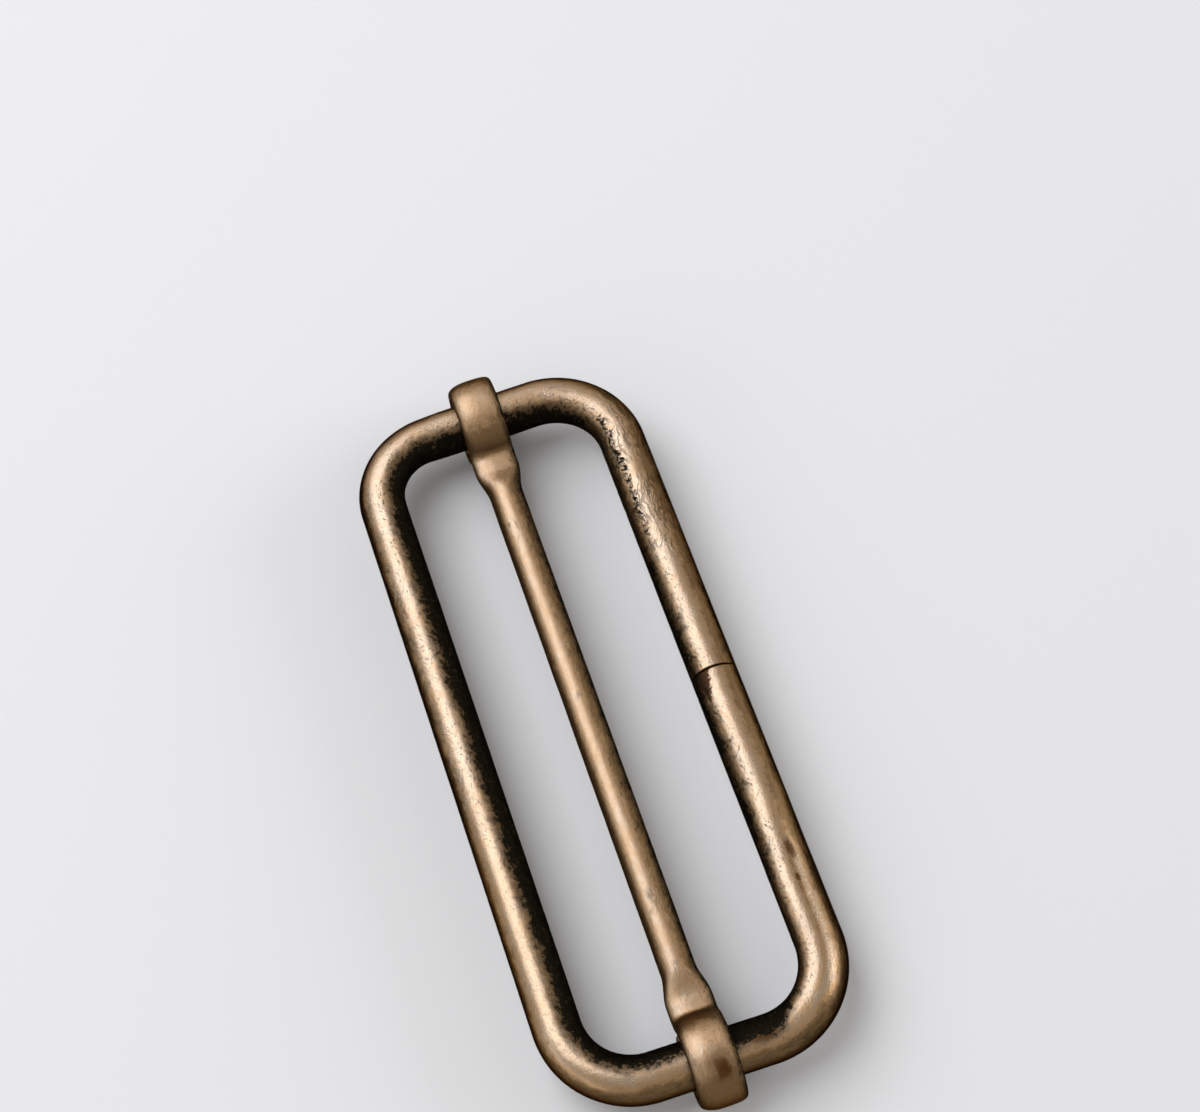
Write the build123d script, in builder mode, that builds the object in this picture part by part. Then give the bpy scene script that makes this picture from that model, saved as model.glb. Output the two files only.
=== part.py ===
from build123d import *
from math import acos, degrees, sqrt
import os

# Movable-bar slider for flat webbing. A round wire is bent to a rounded rectangle and its ends
# are butted together. A second wire, the bar, bridges the opening: its ends are pressed flat
# and curled round the two short sides, so the bar slides along them.
# The origin is the middle of the opening, X runs along it, Y across it, and Z out of its plane.

# ---- Driving dimensions, in millimetres ----

# Frame
wire_d = 3.0  # the frame's wire
opening_length = 42.0  # inside the frame along X, for webbing 38 to 40 wide
opening_width = 13.2  # inside the frame along Y
bend_inner_r = 3.05  # inside radius of the four corner bends
seam_gap = 0.08  # slit left where the wire's ends butt
cut_end_round = 0.06  # rim of each cut end, rounded by tumbling

# Bar
bar_d = 2.2  # the bar's wire, round between its pressed ends
tab_width = 2.9  # pressed end, across the strip
tab_thickness = 1.2  # pressed end, through the strip
press_length = 2.0  # where the wire changes from round to flat
flat_lead = 0.5  # straight flat stretch before the neck
neck_inner_r = 0.6  # inside radius of the bend that lifts the strip over the frame's wire
curl_clearance = 0.15  # all round, between the frame's wire and the curl
curl_mouth = 20.0  # angle, in degrees, left open between the curl's tip and the bar's level
tip_round = 0.3  # rim of the bar's own cut ends
bar_rest_y = -0.27  # where the bar stands between the long sides

# ---- Derived sizes ----

wire_r = wire_d / 2
side_x = opening_length / 2 + wire_r  # centre line of the short sides
side_y = opening_width / 2 + wire_r  # centre line of the long sides
bend_r = bend_inner_r + wire_r

# The strip's centre line is an arc round the frame's wire and, tangent to it, the neck's arc,
# which turns the other way and starts level with the bar.
curl_r = wire_r + curl_clearance + tab_thickness / 2
neck_r = neck_inner_r + tab_thickness / 2
neck_turn = degrees(acos(neck_r / (curl_r + neck_r)))
neck_x = side_x - sqrt((curl_r + neck_r) ** 2 - neck_r**2)
flat_x = neck_x - flat_lead
round_x = flat_x - press_length

os.makedirs("parts", exist_ok=True)

# ---- Frame ----

with BuildPart() as frame:
    with BuildLine() as frame_line:
        FilletPolyline(
            (seam_gap / 2, side_y),
            (side_x, side_y),
            (side_x, -side_y),
            (-side_x, -side_y),
            (-side_x, side_y),
            (-seam_gap / 2, side_y),
            radius=bend_r,
        )
    with BuildSketch(Plane(origin=frame_line.line @ 0, z_dir=frame_line.line % 0)):
        Circle(wire_r)
    sweep()
    cut_ends = frame.faces().filter_by(Plane.YZ)
    fillet(cut_ends.edges(), cut_end_round)

frame.part.label = "frame"
export_step(frame.part, "parts/frame.step")

# ---- Bar ----

bar_section = Plane(origin=(0, bar_rest_y, 0), x_dir=(0, 1, 0), z_dir=(1, 0, 0))
bar_side = Plane(origin=(0, bar_rest_y, 0), x_dir=(1, 0, 0), z_dir=(0, -1, 0))

# Half of the flat section, the flat faces ending where the round edges start, and four points
# round the wire where the same four corners come from.
half_width = tab_width / 2
half_thickness = tab_thickness / 2
flat_edge = half_width - half_thickness
bar_r = bar_d / 2
corner = bar_r * sqrt(0.5)

with BuildPart() as bar:
    with BuildSketch(bar_section):
        Circle(bar_r)
    extrude(amount=round_x)

    # The press spreads the wire from its round section to the flat one.
    with BuildSketch(bar_section.offset(round_x)):
        with BuildLine():
            ThreePointArc((-corner, corner), (0, bar_r), (corner, corner))
            ThreePointArc((corner, corner), (bar_r, 0), (corner, -corner))
            ThreePointArc((corner, -corner), (0, -bar_r), (-corner, -corner))
            ThreePointArc((-corner, -corner), (-bar_r, 0), (-corner, corner))
        make_face()
    with BuildSketch(bar_section.offset(flat_x)):
        with BuildLine():
            Line((-flat_edge, half_thickness), (flat_edge, half_thickness))
            ThreePointArc((flat_edge, half_thickness), (half_width, 0), (flat_edge, -half_thickness))
            Line((flat_edge, -half_thickness), (-flat_edge, -half_thickness))
            ThreePointArc((-flat_edge, -half_thickness), (-half_width, 0), (-flat_edge, half_thickness))
        make_face()
    loft()

    # The flat end rises over the frame's wire and curls round it, back to under the bar.
    with BuildLine(bar_side) as curl_line:
        Line((flat_x, 0), (neck_x, 0))
        CenterArc((neck_x, neck_r), neck_r, -90, neck_turn)
        CenterArc((side_x, 0), curl_r, 90 + neck_turn, curl_mouth - neck_turn - 270)
    with BuildSketch(bar_section.offset(flat_x)):
        SlotOverall(tab_width, tab_thickness)
    sweep()
    curl_tip = bar.faces().sort_by_distance(curl_line.line @ 1)[0]
    fillet(curl_tip.edges(), tip_round)

    # The other half is the same.
    mirror(about=Plane.YZ)

bar.part.label = "bar"
export_step(bar.part, "parts/bar.step")
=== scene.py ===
from math import acos, cos, pi, radians, sin, sqrt

import bpy
from bpy.props import FloatProperty, FloatVectorProperty, IntProperty, PointerProperty
from mathutils import Matrix, Vector


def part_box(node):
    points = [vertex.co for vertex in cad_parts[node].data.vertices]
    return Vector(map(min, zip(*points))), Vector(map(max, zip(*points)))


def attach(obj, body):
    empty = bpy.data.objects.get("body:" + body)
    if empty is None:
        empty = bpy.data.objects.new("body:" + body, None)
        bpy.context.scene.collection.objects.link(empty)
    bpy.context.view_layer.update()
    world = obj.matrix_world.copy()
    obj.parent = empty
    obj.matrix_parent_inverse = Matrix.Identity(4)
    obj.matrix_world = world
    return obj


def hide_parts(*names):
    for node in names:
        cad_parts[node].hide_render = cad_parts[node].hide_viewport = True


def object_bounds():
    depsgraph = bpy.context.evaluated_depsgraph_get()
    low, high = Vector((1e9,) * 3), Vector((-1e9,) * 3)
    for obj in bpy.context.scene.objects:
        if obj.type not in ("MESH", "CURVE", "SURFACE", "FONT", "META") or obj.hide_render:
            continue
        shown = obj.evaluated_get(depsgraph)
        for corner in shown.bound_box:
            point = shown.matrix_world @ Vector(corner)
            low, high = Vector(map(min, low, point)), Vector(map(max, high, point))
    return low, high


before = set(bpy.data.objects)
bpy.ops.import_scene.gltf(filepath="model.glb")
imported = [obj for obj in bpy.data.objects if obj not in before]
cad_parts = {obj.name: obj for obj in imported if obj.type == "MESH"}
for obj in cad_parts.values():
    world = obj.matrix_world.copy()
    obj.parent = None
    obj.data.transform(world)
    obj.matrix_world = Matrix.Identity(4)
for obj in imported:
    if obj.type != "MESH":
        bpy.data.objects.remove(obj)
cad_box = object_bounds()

bl_info = {
    "name": "Movable-bar slider buckle",
    "version": (1, 0, 0),
    "blender": (4, 5, 0),
    "location": "3D View > Sidebar > Slider",
    "description": "A wire slider buckle with a loose bar, in antique brass, on a pale stage",
    "category": "Object",
}

MM = 0.001  # one millimetre, in metres
TO_MM = 1000.0  # from metres to millimetres

# ---- What the CAD says: the frame's wire and outline, the bar's place and the curls' reach ----

frame_low, frame_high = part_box("frame")
bar_low, bar_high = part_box("bar")
CAD_WIRE = frame_high.z - frame_low.z
CAD_LENGTH = frame_high.x - frame_low.x
CAD_WIDTH = frame_high.y - frame_low.y
CAD_TAB_WIDTH = bar_high.y - bar_low.y
CAD_BAR_Y = (bar_high.y + bar_low.y) / 2
CAD_CURL_REACH = (bar_high.z - bar_low.z) / 2

# ---- What handwork adds to it ----

# Where each bend's corner stands off the true rectangle, in millimetres, and its radius: the
# wire was bent by hand over a former, so no two bends are quite alike.
BENDS = (
    # x side, y side, x off, y off, radius
    (1, 1, 0.10, 0.12, 4.72),
    (1, -1, -0.15, -0.06, 4.58),
    (-1, -1, 0.19, 0.06, 4.1),
    (-1, 1, -0.17, -0.08, 4.67),
)
SEAM_X = -0.3 * MM  # the seam isn't quite in the middle of its side
CUT_END_ROUND = 0.06 * MM  # rim of the frame's cut ends, rounded by tumbling
BAR_SLACK = 0.045 * MM  # how far the bar has shifted along itself, within its play
FLAT_LEAD = 0.5 * MM  # straight flat stretch of the bar before the neck

# Stretches where bending has squashed the frame's wire to an oval, in millimetres from the seam.
OVAL_BEFORE_BEND = (8.0, 14.5, 18.0, 23.0)  # start, whole, fading, end
OVAL_AT_BEND = (79.0, 1.5, 5.0)  # middle, and the distances from it: whole, faded

# ---- Fineness of the meshes ----

BEND_POINTS = 40
RING_SPACING = 0.13 * MM  # between the rings of the frame's wire
STATION_SPACING = 0.12 * MM  # between the rings of the bar
TIP_STATIONS = 6  # rings that round each tip of the bar

PLACE = "wire_place"  # attribute: distance along the wire in mm, and two parts round it, -1 to 1


# ---- Settings a user would change ----


def distance_property(**details):
    return FloatProperty(unit="LENGTH", subtype="DISTANCE", precision=5, **details)


def angle_property(**details):
    return FloatProperty(unit="ROTATION", subtype="ANGLE", **details)


def colour_property(**details):
    return FloatVectorProperty(size=3, min=0, max=1, subtype="COLOR", **details)


class SliderFrameSizes(bpy.types.PropertyGroup):
    wire: distance_property(
        name="Wire",
        description="Diameter of the frame's wire",
        default=CAD_WIRE,
        min=0.0005,
    )
    length: distance_property(
        name="Length",
        description="Outside length of the frame, along the bar",
        default=CAD_LENGTH,
    )
    width: distance_property(
        name="Width",
        description="Outside width of the frame, across the bar",
        default=CAD_WIDTH,
    )
    seam: distance_property(
        name="Seam",
        description="Slit between the wire's two cut ends",
        default=0.09 * MM,
    )
    dent: distance_property(
        name="Dents",
        description="Depth of the pits and dents in the wire",
        default=0.03 * MM,
    )
    sides: IntProperty(
        name="Sides",
        description="Facets round the wire",
        default=72,
        min=12,
        max=96,
    )


class SliderBarSizes(bpy.types.PropertyGroup):
    wire: distance_property(
        name="Wire",
        description="Diameter of the bar between its pressed ends",
        default=2.2 * MM,
    )
    tab_width: distance_property(
        name="Tab width",
        description="Width of each pressed end",
        default=CAD_TAB_WIDTH,
    )
    tab_thickness: distance_property(
        name="Tab thickness",
        description="Thickness of each pressed end",
        default=1.2 * MM,
    )
    reach: distance_property(
        name="Curl reach",
        description="Outside radius of each curl round the frame's wire",
        default=CAD_CURL_REACH,
    )
    neck: distance_property(
        name="Neck radius",
        description="Inside radius of the bend that lifts the tab over the frame's wire",
        default=0.6 * MM,
    )
    press: distance_property(
        name="Press length",
        description="Stretch where the wire turns from round to flat",
        default=2.0 * MM,
    )
    tip: distance_property(
        name="Tip rounding",
        description="Radius of the rim at each cut end",
        default=0.3 * MM,
    )
    mouth: angle_property(
        name="Mouth",
        description="Angle left open between the curl's tip and the bar's level",
        default=radians(20),
    )
    sides: IntProperty(
        name="Sides",
        description="Facets round the bar",
        default=64,
        min=12,
        max=96,
    )


class SliderFinish(bpy.types.PropertyGroup):
    # Also painted highlight: rubbed brass lies mostly where the wire faces the key light's
    # highlight.
    rubbed: colour_property(
        name="Rubbed brass",
        description="Brass where wear has taken the patina off",
        default=(0.36, 0.26, 0.17),
    )
    tan: colour_property(
        name="Tan brass",
        description="Brass under a thin brown film",
        default=(0.34, 0.21, 0.107),
    )
    # Also painted shade: umber lies mostly where the wire faces away from the key light's
    # highlight.
    umber: colour_property(
        name="Umber brass",
        description="Brass under a thicker film, in blotches",
        default=(0.170, 0.103, 0.048),
    )
    # Along the wire's sides this brown is also painted shade, standing in for dark surroundings
    # mirrored there.
    brown: colour_property(
        name="Brown patina",
        description="Thick film, at the edge of the blackened part and along the wire's sides",
        default=(0.040, 0.026, 0.0145),
    )
    rust: colour_property(
        name="Rust brown",
        description="Colour of the few scalded spots",
        default=(0.085, 0.036, 0.012),
    )
    soot: colour_property(
        name="Soot",
        description="Brown-black left beside the joint of the wire",
        default=(0.03, 0.014, 0.007),
    )
    black: colour_property(
        name="Blackening",
        description="The full antique blackening, left where rubbing didn't reach",
        default=(0.008, 0.0066, 0.004),
    )
    olive: colour_property(
        name="Olive black",
        description="Greenish brown showing through the blackening",
        default=(0.034, 0.024, 0.0125),
    )


class SliderStage(bpy.types.PropertyGroup):
    floor: colour_property(
        name="Floor",
        description="Colour of the floor",
        default=(0.80, 0.80, 0.80),
    )
    backdrop: colour_property(
        name="Backdrop colour",
        description="What the camera sees beyond the floor",
        default=(0.71, 0.70, 0.685),
    )
    air: colour_property(
        name="Surroundings",
        description="Colour of the light from all round",
        default=(0.39, 0.375, 0.36),
    )
    tint: FloatVectorProperty(
        name="Lamp tint",
        description="Colour of the three lamps, a little cool against the surroundings",
        default=(0.975, 1.0, 1.06),
        size=3,
        min=0,
        subtype="COLOR",
    )
    key: FloatProperty(
        name="Key light",
        description="Brightness of the large softbox, where 1 is white",
        default=2.65,
        min=0,
    )
    fill: FloatProperty(
        name="Fill light",
        description="Brightness of the small softbox, where 1 is white",
        default=4.0,
        min=0,
    )
    strip: FloatProperty(
        name="Strip light",
        description="Brightness of the low strip, where 1 is white",
        default=1.0,
        min=0,
    )
    lens: FloatProperty(
        name="Lens",
        description="Focal length of the camera, in millimetres on a 36 mm sensor",
        default=78.5,
        min=10,
    )
    distance: distance_property(
        name="Distance",
        description="From the camera to the point that it looks at",
        default=166.8 * MM,
    )
    azimuth: angle_property(
        name="Azimuth",
        description="Turn of the camera round the slider, 0 looking along Y",
        default=radians(77.68),
    )
    elevation: angle_property(
        name="Elevation",
        description="Height of the camera as an angle over the floor",
        default=radians(63.93),
    )
    roll: angle_property(
        name="Roll",
        description="Turn of the camera about its own line of sight",
        default=radians(-6.9),
    )
    aim: FloatVectorProperty(
        name="Aim",
        description="The point that the camera looks at",
        default=(-0.01054, 0.00403, 0.0),
        size=3,
        unit="LENGTH",
        subtype="XYZ",
        precision=5,
    )


class SliderSettings(bpy.types.PropertyGroup):
    frame_sizes: PointerProperty(name="Frame", type=SliderFrameSizes)
    bar_sizes: PointerProperty(name="Bar", type=SliderBarSizes)
    finish: PointerProperty(name="Finish", type=SliderFinish)
    stage: PointerProperty(name="Stage", type=SliderStage)


# ---- Node graphs, for shapes and for finishes ----


class Value:
    """An output socket that can be used in sums: each operator adds its Math node."""

    def __init__(self, graph, socket):
        self.graph, self.socket = graph, socket

    def math(self, operation, *others):
        return self.graph.math(operation, self, *others)

    def __add__(self, other):
        return self.math("ADD", other)

    __radd__ = __add__

    def __sub__(self, other):
        return self.math("SUBTRACT", other)

    def __rsub__(self, other):
        return self.graph.math("SUBTRACT", other, self)

    def __mul__(self, other):
        return self.math("MULTIPLY", other)

    __rmul__ = __mul__

    def __truediv__(self, other):
        return self.math("DIVIDE", other)

    def __rtruediv__(self, other):
        return self.graph.math("DIVIDE", other, self)

    def __abs__(self):
        return self.math("ABSOLUTE")

    def __pow__(self, other):
        return self.math("POWER", other)

    def most(self, other):
        """The larger of the two."""
        return self.math("MAXIMUM", other)

    def output(self, name):
        """Another output of the same node."""
        return Value(self.graph, self.socket.node.outputs[name])


SEED_STEP = (17.3, 9.1, 5.7)  # how far each seed moves a noise, in the place's own units


class Graph:
    """A node tree, with the few ways of adding to it that this file needs."""

    def __init__(self, tree):
        self.tree = tree

    def node(self, kind, settings=None, sockets=(), output=0):
        """Adds a node: first its settings, then a value or a link for each of the sockets."""
        made = self.tree.nodes.new(kind)
        for name, setting in (settings or {}).items():
            setattr(made, name, setting)
        pairs = sockets.items() if isinstance(sockets, dict) else enumerate(sockets)
        for key, value in pairs:
            if isinstance(value, Value):
                self.tree.links.new(value.socket, made.inputs[key])
            else:
                made.inputs[key].default_value = value
        return Value(self, made.outputs[output]) if made.outputs else made

    def math(self, operation, *terms):
        return self.node("ShaderNodeMath", {"operation": operation}, terms)

    def vector(self, operation, *terms, scale=None):
        sockets = dict(enumerate(terms))
        if scale is not None:
            sockets["Scale"] = scale
        output = "Value" if operation in ("LENGTH", "DOT_PRODUCT") else "Vector"
        return self.node("ShaderNodeVectorMath", {"operation": operation}, sockets, output)

    def combine(self, x, y, z):
        return self.node("ShaderNodeCombineXYZ", {}, (x, y, z))

    def separate(self, vector):
        first = self.node("ShaderNodeSeparateXYZ", {}, (vector,))
        return first, first.output("Y"), first.output("Z")

    def rise(self, value, low, high):
        """0 below low, 1 above high, and smooth between them."""
        smooth = {"interpolation_type": "SMOOTHSTEP"}
        return self.node("ShaderNodeMapRange", smooth, (value, low, high, 0.0, 1.0))

    def stretch(self, value, start, whole, fading, end):
        """1 between whole and fading, 0 before start and after end."""
        return self.rise(value, start, whole) * (1 - self.rise(value, fading, end))

    def around(self, value, middle, whole, faded):
        """1 up to the first distance from the middle, 0 beyond the second."""
        return 1 - self.rise(abs(value - middle), whole, faded)

    def noise(self, place, scale, detail=3.0, roughness=0.5, seed=0.0):
        """Noise from about -1 to 1, in the place's own units; each seed gives another patch."""
        shifted = self.vector("ADD", place, tuple(seed * step for step in SEED_STEP))
        raw = self.node(
            "ShaderNodeTexNoise",
            {"noise_dimensions": "3D"},
            {"Vector": shifted, "Scale": scale, "Detail": detail, "Roughness": roughness},
        )
        return (raw - 0.5) * 4.0

    def blend(self, share, first, second):
        """Colours mixed: the first where share is 0, the second where it is 1."""
        return self.node(
            "ShaderNodeMix",
            {"data_type": "RGBA", "clamp_factor": True},
            {0: share, 6: first, 7: second},
            output=2,
        )


def clean_material(name):
    """A material with an empty node tree, and the tree's graph."""
    material = bpy.data.materials.new(name)
    material.use_nodes = True
    material.node_tree.nodes.clear()
    return material, Graph(material.node_tree)


def shape_graph(name, inputs):
    """The graph of a new Geometry Nodes tree, and its inputs by name."""
    tree = bpy.data.node_groups.new(name, "GeometryNodeTree")
    tree.is_modifier = True
    tree.interface.new_socket("Path", in_out="INPUT", socket_type="NodeSocketGeometry")
    for label, kind in inputs:
        tree.interface.new_socket(label, in_out="INPUT", socket_type=kind)
    tree.interface.new_socket("Mesh", in_out="OUTPUT", socket_type="NodeSocketGeometry")
    graph = Graph(tree)
    path = graph.node("NodeGroupInput")
    return graph, {s.name: Value(graph, s) for s in path.socket.node.outputs if s.name}


def swept(graph, path, sides):
    """The path with a ring of unit radius round it.

    Gives the mesh, the distance along the path and its whole length, the path's point and
    direction there, and the two parts of the place round the ring.
    """
    length = graph.node("GeometryNodeSplineLength")
    place = graph.node("GeometryNodeInputPosition")
    line = graph.tree.nodes.new("GeometryNodeCaptureAttribute")
    line.capture_items.new("FLOAT", "Along")
    line.capture_items.new("FLOAT", "Length")
    line.capture_items.new("VECTOR", "Point")
    line.capture_items.new("VECTOR", "Direction")
    along = graph.node("GeometryNodeSplineParameter", {}, (), "Length")
    direction = graph.node("GeometryNodeInputTangent")
    for socket, value in zip(line.inputs, (path, along, length, place, direction)):
        graph.tree.links.new(value.socket, socket)
    ring = graph.node("GeometryNodeCurvePrimitiveCircle", {}, {"Resolution": sides, "Radius": 1.0})
    rim = graph.tree.nodes.new("GeometryNodeCaptureAttribute")
    rim.capture_items.new("VECTOR", "Place")
    graph.tree.links.new(ring.socket, rim.inputs[0])
    graph.tree.links.new(place.socket, rim.inputs[1])
    mesh = graph.node(
        "GeometryNodeCurveToMesh",
        {},
        {
            "Curve": Value(graph, line.outputs[0]),
            "Profile Curve": Value(graph, rim.outputs[0]),
            "Fill Caps": True,
        },
    )
    round_x, round_y, _ = graph.separate(Value(graph, rim.outputs[1]))
    carried = [Value(graph, line.outputs[i]) for i in range(1, 5)]
    return mesh, *carried, round_x, round_y


def finish_shape(graph, mesh, position, straight, material):
    """Puts the swept mesh's points in their places, keeps where each was, and ends the tree."""
    placed = graph.node("GeometryNodeSetPosition", {}, {"Geometry": mesh, "Position": position})
    stored = graph.node(
        "GeometryNodeStoreNamedAttribute",
        {"data_type": "FLOAT_VECTOR", "domain": "POINT"},
        {"Geometry": placed, "Name": PLACE, "Value": straight},
    )
    smooth = graph.node("GeometryNodeSetShadeSmooth", {}, {"Geometry": stored})
    real = graph.node("GeometryNodeRealizeInstances", {}, {"Geometry": smooth})
    dressed = graph.node("GeometryNodeSetMaterial", {}, {"Geometry": real, "Material": material})
    graph.node("NodeGroupOutput", {}, (dressed,))


def grown(name, points, tree, values):
    """Runs the tree on a path through the points and keeps the result as a plain mesh."""
    curve = bpy.data.curves.new(name + "_path", "CURVE")
    curve.dimensions = "3D"
    spline = curve.splines.new("POLY")
    spline.points.add(len(points) - 1)
    for point, (x, y, z, radius) in zip(spline.points, points):
        point.co = (x, y, z, 1.0)
        point.radius = radius
    path = bpy.data.objects.new(name + "_path", curve)
    bpy.context.scene.collection.objects.link(path)
    modifier = path.modifiers.new("shape", "NODES")
    modifier.node_group = tree
    sockets = {s.name: s.identifier for s in tree.interface.items_tree if s.in_out == "INPUT"}
    for label, value in values.items():
        modifier[sockets[label]] = value
    evaluated = path.evaluated_get(bpy.context.evaluated_depsgraph_get())
    mesh = bpy.data.meshes.new_from_object(evaluated)
    bpy.data.objects.remove(path)
    bpy.data.curves.remove(curve)
    if not mesh.polygons:
        raise RuntimeError(name + " came out empty")
    mesh.name = name
    piece = bpy.data.objects.new(name, mesh)
    bpy.context.scene.collection.objects.link(piece)
    return piece


# ---- Antique brass ----

# A place on a wire is millimetres along it, from the frame's seam or from the bar's middle, and
# a part of its radius across it, from -1 to 1, where 1 faces the opening, or +Y on the bar.

# Stretches of the frame's wire where the blackening comes further round it, or less far if the
# last number is below 0: middle, distances from it where that is whole and faded, how much.
BLACKENING = (
    (17.5, 2.6, 5.0, -0.25),
    (26.4, 1.5, 3.6, 0.55),
    (30.0, 4.5, 7.5, 0.17),
    (99.5, 4.0, 7.5, -0.22),
    (79.0, 2.5, 6.0, -0.12),
)
PITTED = (99.5, 4.0, 7.5)  # full of pits: middle, whole, faded

# More stretches of the frame's wire: start, whole, fading, end.
SMOOTH = (22.0, 27.0, 49.0, 56.0)  # hardly any grain, specks or streaks, and painted lighter with less painted side shade: partly painted highlight
GROOVE = (7.0, 13.0, 22.0, 25.0)  # a duller line along the top
FILL_STREAK = (10.5, 13.5, 20.5, 22.5)  # a brighter line beside it, along the fill lamp's reflection: painted highlight

# Scalded marks: strength, place along, place across, and half the size each way.
FRAME_MARKS = (
    (1.0, 12.6, -0.17, 0.75, 0.2),
    (1.0, 14.5, -0.02, 0.3, 0.12),
    (0.8, 26.0, -0.05, 0.9, 0.25),
)
BAR_MARKS = (
    (0.5, 24.25, 0.06, 0.95, 0.45),
    (0.6, 24.6, 0.12, 0.5, 0.2),
)

KEY_HIGHLIGHT_FACING = (0.0, -0.26, 0.965)  # the way the wire faces where it shows the key light's highlight; colour is painted paler facing this way and darker facing away
RELIEF = 0.016 * MM  # depth of the finest pits, which are bump only


def antique_brass(name, finish, edge, side_shift, polish, marks, seamed):
    """Brass plate, blackened and rubbed back.

    edge is how far round towards the dark side the rubbing reached, side_shift how much that
    differs with Y, polish how much of its shine the wire kept, and marks its scalded marks.
    seamed is for the frame's wire, which also has soot at its seam, streaks, and the stretches
    listed above.
    """
    material, g = clean_material(name)
    place = g.node("ShaderNodeAttribute", {"attribute_name": PLACE}, (), "Vector")
    facing = g.node("ShaderNodeTexCoord", {}, (), "Normal")
    key_highlight_facing = g.vector("DOT_PRODUCT", facing, KEY_HIGHLIGHT_FACING)
    along, inward, up = g.separate(place)
    _, y, _ = g.separate(g.node("ShaderNodeTexCoord", {}, (), "Object"))
    straight = g.combine(along, inward * 1.5, up * 1.5)
    cloud = g.noise(straight, 0.36, 3.0, 0.55, seed=3)

    # Brush strokes wander round the wire as they go along it.
    turn = cloud * 0.35
    lean, upright = turn.math("SINE"), turn.math("COSINE")
    across = (inward * upright - up * lean) * 1.5
    over = (inward * lean + up * upright) * 1.5
    slanted = g.combine((along + inward * 0.45) * 0.72, across, over)
    streaky = g.combine(along * 0.22, across, over)

    ragged = g.noise(slanted, 0.9, 5.0, 0.6)
    flaky = g.noise(slanted, 5.5, 3.0, 0.62, seed=1)
    grain = g.noise(straight, 8.0, 3.0, 0.7, seed=2)
    mottle = g.noise(slanted, 2.4, 4.0, 0.62, seed=7)
    brushed = g.noise(streaky, 5.5, 4.0, 0.65, seed=4)
    hair = 1 - g.rise(abs(g.noise(streaky, 2.6, 4.0, 0.6, seed=9)), 0.05, 0.28)

    # What differs from place to place along the frame's wire.
    line = inward - edge - y * side_shift
    reach, pitted = line, 0.2
    smooth = groove = painted_fill_streak = streaks = wedge = 0.0
    if seamed:
        for middle, whole, faded, gain in BLACKENING:
            reach = reach + g.around(along, middle, whole, faded) * gain
        pitted = g.around(along, *PITTED)
        smooth = g.stretch(along, *SMOOTH)
        groove = g.stretch(along, *GROOVE) * g.around(inward + ragged * 0.03, 0.03, 0.03, 0.2)
        # Painted highlight: brighter colour along the fill lamp's reflection on the outer side of
        # the wire.
        painted_fill_streak = g.stretch(along, *FILL_STREAK) * g.around(inward, -0.45, 0.22, 0.44)
        streaks = hair * g.rise(ragged * 0.3 - inward, 0.35, 0.75) * (1 - smooth * 0.85)
        wedge = along / 2.4 + abs(inward - 0.62) / 0.4 + flaky * 0.3 + ragged * 0.1
        wedge = 1 - g.rise(wedge, 0.75, 1.05)

    # Blackening, from the side the rubbing didn't reach, fraying out through a brown film.
    frayed = reach + ragged * 0.16
    film = g.rise(frayed + mottle * 0.14 + flaky * 0.08, -0.26, 0.16)
    dark = g.rise(frayed + mottle * 0.22 + flaky * 0.18, 0.10, 0.26)
    crumbs = g.rise(grain * 0.7 - flaky * 0.4 + mottle * 0.3, 0.5, 0.7)
    crumbs = crumbs * (1 - g.rise(reach, 0.2, 0.55))

    # Dirt in scratches, specks and streaks. Along the wire's sides the brown is partly film and
    # partly painted shade, standing in for dark surroundings mirrored there.
    near = g.rise(reach, -0.8, -0.1)
    scratch = hair * g.rise(cloud + ragged * 0.5 + pitted * 1.1, 0.45, 1.1)
    specks = g.rise(flaky * 0.8 + grain * 0.5, 0.36, 0.52) * near * (1 - smooth * 0.7)
    soiled = (film * 0.8).most(specks * 0.85).most(scratch * 0.6).most(streaks * 0.5)
    equator = 0.96 - abs(up) - smooth * 0.08 + ragged * 0.18 + brushed * 0.3 + flaky * 0.12
    brown_film_and_side_shade = g.rise(equator, 0.06, 0.56) * (0.2 + polish * 0.7 - smooth * 0.3)

    def mark(strength, along_at, inward_at, length, width):
        """As strong as asked for in the middle of an uneven oval, 0 outside it."""
        off_along, off_inward = (along - along_at) / length, (inward - inward_at) / width
        off = off_along * off_along + off_inward * off_inward
        return (1 - g.rise(off + mottle * 0.35 + flaky * 0.25, 0.0, 1.4)) * strength

    scald = sum(mark(*where) for where in marks)

    # Bare brass, from umber to tan to rubbed, then the dirt, the marks and the blackening on it.
    tone = cloud * 0.26 + mottle * 0.30 + brushed * 0.20 + grain * 0.24
    # Painted highlight and shade: the tone rises where the wire faces the key light's highlight
    # and falls where it faces away; the noise above is wear. The fill lamp's streak is painted
    # brighter as well.
    tone = tone + (key_highlight_facing - 0.88) * (3.0 + polish) + painted_fill_streak * 1.2
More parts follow.
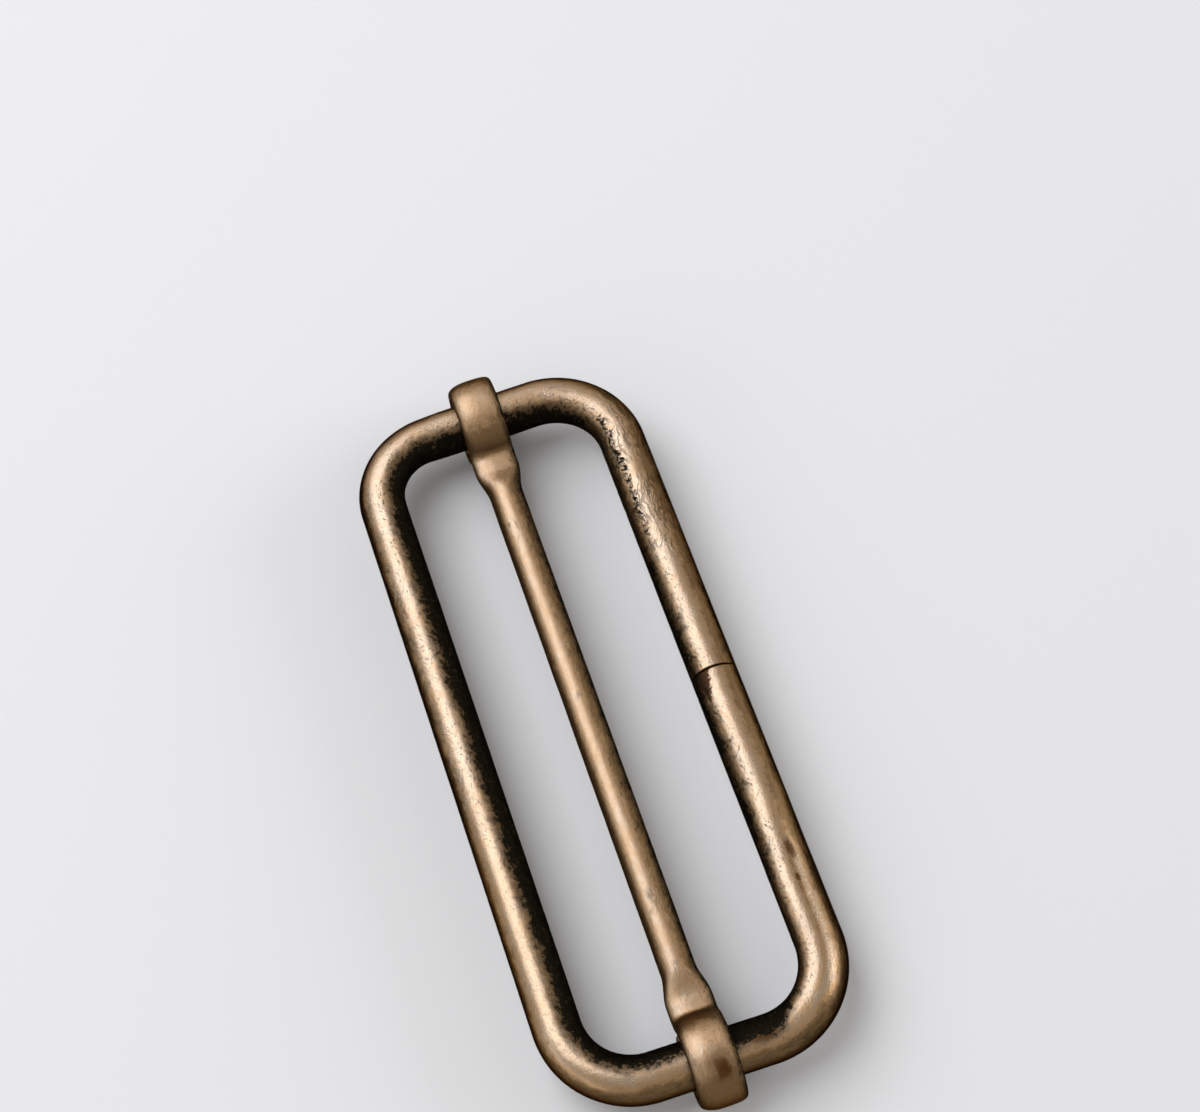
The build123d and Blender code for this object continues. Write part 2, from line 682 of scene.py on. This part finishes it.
    # The smooth stretch is painted lighter: painted highlight.
    tone = tone - (1 - polish) * 0.16 + smooth * 0.12 - groove * 0.3
    bright = g.rise(tone, 0.0, 0.6)
    umber, tan_brass, rubbed, brown, rust, soot, black, olive = [
        (*colour, 1)
        for colour in (
            finish.umber,
            finish.tan,
            finish.rubbed,
            finish.brown,
            finish.rust,
            finish.soot,
            finish.black,
            finish.olive,
        )
    ]
    wear_and_painted_highlight = g.blend(bright, g.blend(g.rise(tone, -0.6, 0.0), umber, tan_brass), rubbed)
    browned = g.blend(soiled.most(brown_film_and_side_shade), wear_and_painted_highlight, brown)
    browned = g.blend(scald * 0.92, browned, rust)
    browned = g.blend(wedge * 0.95, browned, soot)

    # Black crumbs left in the hollows, just short of the blackened side.
    hollow = g.noise(g.combine(along * 0.8 + inward * 0.5, across, over), 4.6, 6.0, 0.75, seed=5)
    stripe = 1 - g.rise(abs(line + 0.10 - cloud * 0.08), 0.05, 0.36)
    pits = g.rise(hollow * 0.8 + stripe * 0.6 + ragged * 0.12 + mottle * 0.15, 0.58, 0.72) * pitted
    stain = (dark * (1 - crumbs * 0.8)).most(pits)
    sooty = g.blend(g.rise(mottle * 0.5 + flaky * 0.6 + grain * 0.4, 0.1, 0.8), black, olive)
    colour = g.blend(stain, browned, sooty)

    stain = stain.most(wedge)
    gloss = 0.31 + (1 - polish) * 0.12 + grain * 0.05 - bright * 0.04 + film * 0.1 + stain * 0.2
    height = grain * (0.32 - smooth * 0.22) + flaky * (0.3 - smooth * 0.15) + brushed * 0.2
    height = height - specks * 1.2 - stain * 0.8 - scratch * 0.9
    relief = g.node("ShaderNodeBump", {}, {"Strength": 1.0, "Distance": RELIEF, "Height": height})

    # A clear coat only where the wire faces the key light's highlight, whitening that highlight
    # alone: a painted highlight.
    clear = g.rise(key_highlight_facing, 0.76, 0.98) * (0.4 + polish * 0.45)
    clear = clear * (1 - painted_fill_streak) * (1 - groove * 0.4) * (1 - smooth * 0.7)
    clear = clear * (1 - stain) * (1 - soiled) * (1 - scald)
    clear = clear * (0.8 + grain * 0.2 + flaky * 0.15)
    brass = g.node(
        "ShaderNodeBsdfPrincipled",
        {},
        {
            "Base Color": colour,
            "Metallic": 1.0,
            "Roughness": gloss,
            "Specular Tint": (0.14, 0.10, 0.07, 1),
            "Normal": relief,
            "Coat Weight": clear,
            "Coat Roughness": 0.22,
            "Coat IOR": 1.78,
        },
    )
    g.node("ShaderNodeOutputMaterial", {}, {"Surface": brass})
    return material


# ---- The frame: one wire, four bends, two ends butted ----


def frame_tree():
    """Rounds the path's corners, resamples it and sweeps the wire along it, with its pits."""
    graph, given = shape_graph(
        "slider_frame_wire",
        (
            ("Wire diameter", "NodeSocketFloat"),
            ("Ring spacing", "NodeSocketFloat"),
            ("Sides", "NodeSocketInt"),
            ("Dent depth", "NodeSocketFloat"),
            ("Squash", "NodeSocketFloat"),
            ("Seed", "NodeSocketFloat"),
            ("Finish", "NodeSocketMaterial"),
        ),
    )
    bent = graph.node(
        "GeometryNodeFilletCurve",
        {"mode": "POLY"},
        {
            "Curve": given["Path"],
            "Radius": graph.node("GeometryNodeInputRadius"),
            "Count": BEND_POINTS,
        },
    )
    even = graph.node(
        "GeometryNodeResampleCurve",
        {"mode": "LENGTH"},
        {"Curve": bent, "Length": given["Ring spacing"]},
    )
    mesh, along, _, point, direction, round_x, round_y = swept(graph, even, given["Sides"])
    inwards = graph.vector("CROSS_PRODUCT", direction, (0.0, 0.0, 1.0))
    at = along * TO_MM
    straight = graph.combine(at, round_x, round_y)
    rolled = graph.combine(at + given["Seed"], round_x * 1.5, round_y * 1.5)
    dents = graph.noise(rolled, 0.5) * 0.2
    pits = graph.rise(graph.noise(rolled, 1.7, 3.0, 0.6, seed=6), 0.3, 0.9)
    towards_opening = graph.rise(round_x, -0.2, 0.5)
    squashed = graph.stretch(at, *OVAL_BEFORE_BEND) + graph.around(at, *OVAL_AT_BEND) * 0.5
    oval = 1 + squashed * given["Squash"] * round_x * round_y * 2.0
    hammered = given["Dent depth"] * (dents - pits * towards_opening)
    radius = given["Wire diameter"] * 0.5 * oval + hammered
    radial = graph.vector(
        "ADD",
        graph.vector("SCALE", inwards, scale=round_x),
        graph.combine(0.0, 0.0, round_y),
    )
    position = graph.vector("ADD", point, graph.vector("SCALE", radial, scale=radius))
    finish_shape(graph, mesh, position, straight, given["Finish"])
    return graph.tree


class SLIDER_OT_frame(bpy.types.Operator):
    """Bend the frame's wire and butt its ends"""

    bl_idname = "slider.frame"
    bl_label = "Frame"

    def execute(self, context):
        settings = context.scene.slider
        sizes = settings.frame_sizes
        side_x = (sizes.length - sizes.wire) / 2
        side_y = (sizes.width - sizes.wire) / 2
        corners = [
            (x * side_x + dx * MM, y * side_y + dy * MM, 0.0, radius * MM)
            for x, y, dx, dy, radius in BENDS
        ]
        points = [
            (SEAM_X + sizes.seam / 2, side_y, 0.0, 0.0),
            *corners,
            (SEAM_X - sizes.seam / 2, side_y, 0.0, 0.0),
        ]
        brass = antique_brass(
            "antique_brass_frame",
            settings.finish,
            edge=0.395,
            side_shift=0.0325 / MM,
            polish=1.0,
            marks=FRAME_MARKS,
            seamed=True,
        )
        wire = grown(
            "frame_wire",
            points,
            frame_tree(),
            {
                "Wire diameter": sizes.wire,
                "Ring spacing": RING_SPACING,
                "Sides": sizes.sides,
                "Dent depth": sizes.dent,
                "Squash": 0.13,
                "Seed": 3.0,
                "Finish": brass,
            },
        )
        rim = wire.modifiers.new("cut_end_rims", "BEVEL")
        rim.limit_method = "ANGLE"
        rim.angle_limit = radians(60)
        rim.width = CUT_END_ROUND
        rim.segments = 2
        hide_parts("frame")
        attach(wire, "frame")
        return {"FINISHED"}


# ---- The bar: a thinner wire, its ends pressed flat and curled round the short sides ----


def bar_line(sizes, side_x):
    """The bar's centre line as stations (x, z), from tip to tip, and where its neck starts."""
    thickness = sizes.tab_thickness
    curl_r = sizes.reach - thickness / 2
    neck_r = sizes.neck + thickness / 2
    turn = acos(neck_r / (curl_r + neck_r))
    neck_x = side_x - sqrt((curl_r + neck_r) ** 2 - neck_r**2)
    curl_turn = 1.5 * pi - sizes.mouth + turn
    half = neck_x + neck_r * turn + curl_r * curl_turn

    def at(s):
        if s < neck_x:
            return s, 0.0
        s -= neck_x
        if s < neck_r * turn:
            angle = s / neck_r - pi / 2
            return neck_x + neck_r * cos(angle), neck_r + neck_r * sin(angle)
        angle = pi / 2 + turn - (s - neck_r * turn) / curl_r
        return side_x + curl_r * cos(angle), curl_r * sin(angle)

    whole = half - sizes.tip
    count = int(whole / STATION_SPACING)
    stations = [whole * i / count for i in range(count + 1)]
    for i in range(1, TIP_STATIONS + 1):
        stations.append(half - sizes.tip * (1 - sin(i / TIP_STATIONS * pi / 2)))
    right = [at(s) for s in stations]
    left = [(-x, z) for x, z in reversed(right[1:])]
    return left + right, neck_x


def bar_tree():
    """Sweeps the bar's wire, flattened towards its ends, with the rim of each tip rounded."""
    graph, given = shape_graph(
        "slider_bar_wire",
        (
            ("Wire diameter", "NodeSocketFloat"),
            ("Tab width", "NodeSocketFloat"),
            ("Tab thickness", "NodeSocketFloat"),
            ("Round until", "NodeSocketFloat"),
            ("Flat from", "NodeSocketFloat"),
            ("Tip rounding", "NodeSocketFloat"),
            ("Soft edge", "NodeSocketFloat"),
            ("Crisp edge", "NodeSocketFloat"),
            ("Sides", "NodeSocketInt"),
            ("Dent depth", "NodeSocketFloat"),
            ("Seed", "NodeSocketFloat"),
            ("Finish", "NodeSocketMaterial"),
        ),
    )
    mesh, along, length, point, direction, round_x, round_y = swept(
        graph, given["Path"], given["Sides"]
    )
    outwards = graph.vector("CROSS_PRODUCT", direction, (0.0, 1.0, 0.0))
    middle = abs(along - length * 0.5)
    pressed = graph.rise(middle, given["Round until"], given["Flat from"])
    left = length * 0.5 - middle
    short = (1 - left / given["Tip rounding"]).most(0.0)
    bow = (1 - short * short).most(0.0)
    inset = given["Tip rounding"] * (1 - bow.math("SQRT"))

    def towards(start, end, share):
        return start + (end - start) * share

    # The section is a superellipse: a circle at exponent 2, and squarer as the exponent grows.
    far_half = graph.rise(round_x, -0.0001, 0.0001)
    edge = towards(given["Soft edge"], given["Crisp edge"], far_half)
    power = 2 / towards(2.0, edge, pressed)

    def squared(part):
        """A part of the circle, moved to its place on the superellipse."""
        return part.math("SIGN") * abs(part) ** power

    radius = given["Wire diameter"] * 0.5
    half_width = towards(radius, given["Tab width"] * 0.5, pressed) - inset
    half_thickness = towards(radius, given["Tab thickness"] * 0.5, pressed) - inset
    rolled = graph.combine(along * TO_MM + given["Seed"], round_x * 1.2, round_y * 1.2)
    dents = given["Dent depth"] * graph.noise(rolled, 0.5) * 0.25
    across = squared(round_x) * (half_width + dents)
    out = squared(round_y) * (half_thickness + dents)
    offset = graph.vector(
        "ADD", graph.combine(0.0, across, 0.0), graph.vector("SCALE", outwards, scale=out)
    )
    position = graph.vector("ADD", point, offset)
    straight = graph.combine((along - length * 0.5) * TO_MM, round_x, round_y)
    finish_shape(graph, mesh, position, straight, given["Finish"])
    return graph.tree


class SLIDER_OT_bar(bpy.types.Operator):
    """Press the bar's ends flat and curl them round the frame"""

    bl_idname = "slider.bar"
    bl_label = "Bar"

    def execute(self, context):
        settings = context.scene.slider
        sizes, frame_sizes = settings.bar_sizes, settings.frame_sizes
        side_x = (frame_sizes.length - frame_sizes.wire) / 2
        line, neck_x = bar_line(sizes, side_x)
        points = [(x + BAR_SLACK, CAD_BAR_Y, z, 1.0) for x, z in line]
        flat_from = neck_x - FLAT_LEAD
        brass = antique_brass(
            "antique_brass_bar",
            settings.finish,
            edge=0.7,
            side_shift=0.0,
            polish=0.35,
            marks=BAR_MARKS,
            seamed=False,
        )
        bar = grown(
            "bar_wire",
            points,
            bar_tree(),
            {
                "Wire diameter": sizes.wire,
                "Tab width": sizes.tab_width,
                "Tab thickness": sizes.tab_thickness,
                "Round until": flat_from - sizes.press,
                "Flat from": flat_from,
                "Tip rounding": sizes.tip,
                "Soft edge": 2.2,
                "Crisp edge": 4.0,
                "Sides": sizes.sides,
                "Dent depth": 0.04 * MM,
                "Seed": 7.0,
                "Finish": brass,
            },
        )
        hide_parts("bar")
        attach(bar, "bar")
        return {"FINISHED"}


# ---- The stage ----

FLOOR_REACH = 0.35  # from the middle of the floor to its sides, in metres
FLOOR_FADE = (0.10, 0.34)  # distances from the middle where it starts to fade and is gone
LAMP_DISTANCE = 0.5  # from the origin, in metres
LAMPS = (
    # setting, direction from the origin, turn in degrees, width and height in metres
    ("key", (-0.62, -0.52, 1.0), 8, 0.60, 0.42),
    ("fill", (0.08, 0.92, 0.34), 0, 0.30, 0.20),
    ("strip", (0.36, -0.85, 0.38), 0, 0.58, 0.16),
)


def floor_material(name, colour):
    """A pale matt floor that fades out into the backdrop all round."""
    material, g = clean_material(name)
    place = g.node("ShaderNodeTexCoord", {}, (), "Object")
    shader = g.node(
        "ShaderNodeBsdfPrincipled",
        {},
        {
            "Base Color": (*colour, 1),
            "Roughness": 0.9,
            "Specular IOR Level": 0.2,
            "Alpha": 1 - g.rise(g.vector("LENGTH", place), *FLOOR_FADE),
        },
    )
    g.node("ShaderNodeOutputMaterial", {}, {"Surface": shader})
    return material


def softbox(name, direction, turn, wide, tall, brightness, tint):
    """An area lamp that faces the origin, as bright as asked for whatever its size.

    Its width runs along X, turned by the given angle about the line to the origin.
    """
    lamp = bpy.data.lights.new(name, "AREA")
    lamp.shape = "RECTANGLE"
    lamp.size = wide
    lamp.size_y = tall
    lamp.energy = pi * wide * tall * brightness
    lamp.color = tint
    holder = bpy.data.objects.new(name, lamp)
    bpy.context.scene.collection.objects.link(holder)
    way = Vector(direction).normalized()
    level = (Vector((1, 0, 0)) - way * way.x).normalized()
    facing = Matrix((level, way.cross(level), way)).transposed() @ Matrix.Rotation(turn, 3, "Z")
    holder.matrix_world = Matrix.Translation(way * LAMP_DISTANCE) @ facing.to_4x4()


class SLIDER_OT_stage(bpy.types.Operator):
    """Set the floor, the lights and the camera"""

    bl_idname = "slider.stage"
    bl_label = "Stage"

    def execute(self, context):
        scene = context.scene
        stage = scene.slider.stage
        scene.view_settings.view_transform = "Standard"

        floor_mesh = bpy.data.meshes.new("floor")
        level = cad_box[0][2]
        sides = ((-1, -1), (1, -1), (1, 1), (-1, 1))
        corners = [(x * FLOOR_REACH, y * FLOOR_REACH, level) for x, y in sides]
        floor_mesh.from_pydata(corners, [], [(0, 1, 2, 3)])
        floor = bpy.data.objects.new("floor", floor_mesh)
        scene.collection.objects.link(floor)
        floor_mesh.materials.append(floor_material("pale_floor", stage.floor))

        world = bpy.data.worlds.new("studio")
        world.use_nodes = True
        g = Graph(world.node_tree)
        background = world.node_tree.nodes["Background"]
        background.inputs["Strength"].default_value = 1.0
        seen = g.node("ShaderNodeLightPath", {}, (), "Is Camera Ray")
        seen = seen + seen.output("Is Glossy Ray") + seen.output("Is Transmission Ray")
        colour = g.blend(seen, (*stage.air, 1), (*stage.backdrop, 1))
        world.node_tree.links.new(colour.socket, background.inputs["Color"])
        scene.world = world

        for setting, direction, turn, wide, tall in LAMPS:
            brightness = getattr(stage, setting)
            name = setting + "_softbox"
            softbox(name, direction, radians(turn), wide, tall, brightness, stage.tint)

        camera = bpy.data.cameras.new("camera")
        camera.sensor_width = 36
        camera.lens = stage.lens
        camera.clip_start = 0.005
        holder = bpy.data.objects.new("camera", camera)
        scene.collection.objects.link(holder)
        a, e = stage.azimuth, stage.elevation
        back = Vector((sin(a) * cos(e), -cos(a) * cos(e), sin(e)))
        right = Vector((cos(a), sin(a), 0))
        facing = Matrix((right, back.cross(right), back)).transposed()
        turned = facing @ Matrix.Rotation(stage.roll, 3, "Z")
        spot = Vector(stage.aim) + back * stage.distance
        holder.matrix_world = Matrix.Translation(spot) @ turned.to_4x4()
        scene.camera = holder
        return {"FINISHED"}


class SLIDER_PT_build(bpy.types.Panel):
    """The slider's pieces and their sizes"""

    bl_idname = "SLIDER_PT_build"
    bl_label = "Slider buckle"
    bl_space_type = "VIEW_3D"
    bl_region_type = "UI"
    bl_category = "Slider"

    def draw(self, context):
        settings = context.scene.slider
        rows = (
            ("slider.frame", settings.frame_sizes),
            ("slider.bar", settings.bar_sizes),
            ("slider.stage", settings.stage),
        )
        for name in settings.finish.__annotations__:
            self.layout.prop(settings.finish, name)
        for operator, group in rows:
            box = self.layout.box()
            box.operator(operator)
            for name in group.__annotations__:
                box.prop(group, name)


CLASSES = (
    SliderFrameSizes,
    SliderBarSizes,
    SliderFinish,
    SliderStage,
    SliderSettings,
    SLIDER_OT_frame,
    SLIDER_OT_bar,
    SLIDER_OT_stage,
    SLIDER_PT_build,
)


def register():
    for kind in CLASSES:
        bpy.utils.register_class(kind)
    bpy.types.Scene.slider = PointerProperty(type=SliderSettings)


def unregister():
    del bpy.types.Scene.slider
    for kind in reversed(CLASSES):
        bpy.utils.unregister_class(kind)


def main():
    register()
    bpy.ops.slider.frame()
    bpy.ops.slider.bar()
    bpy.ops.slider.stage()


if __name__ == "__main__":
    main()
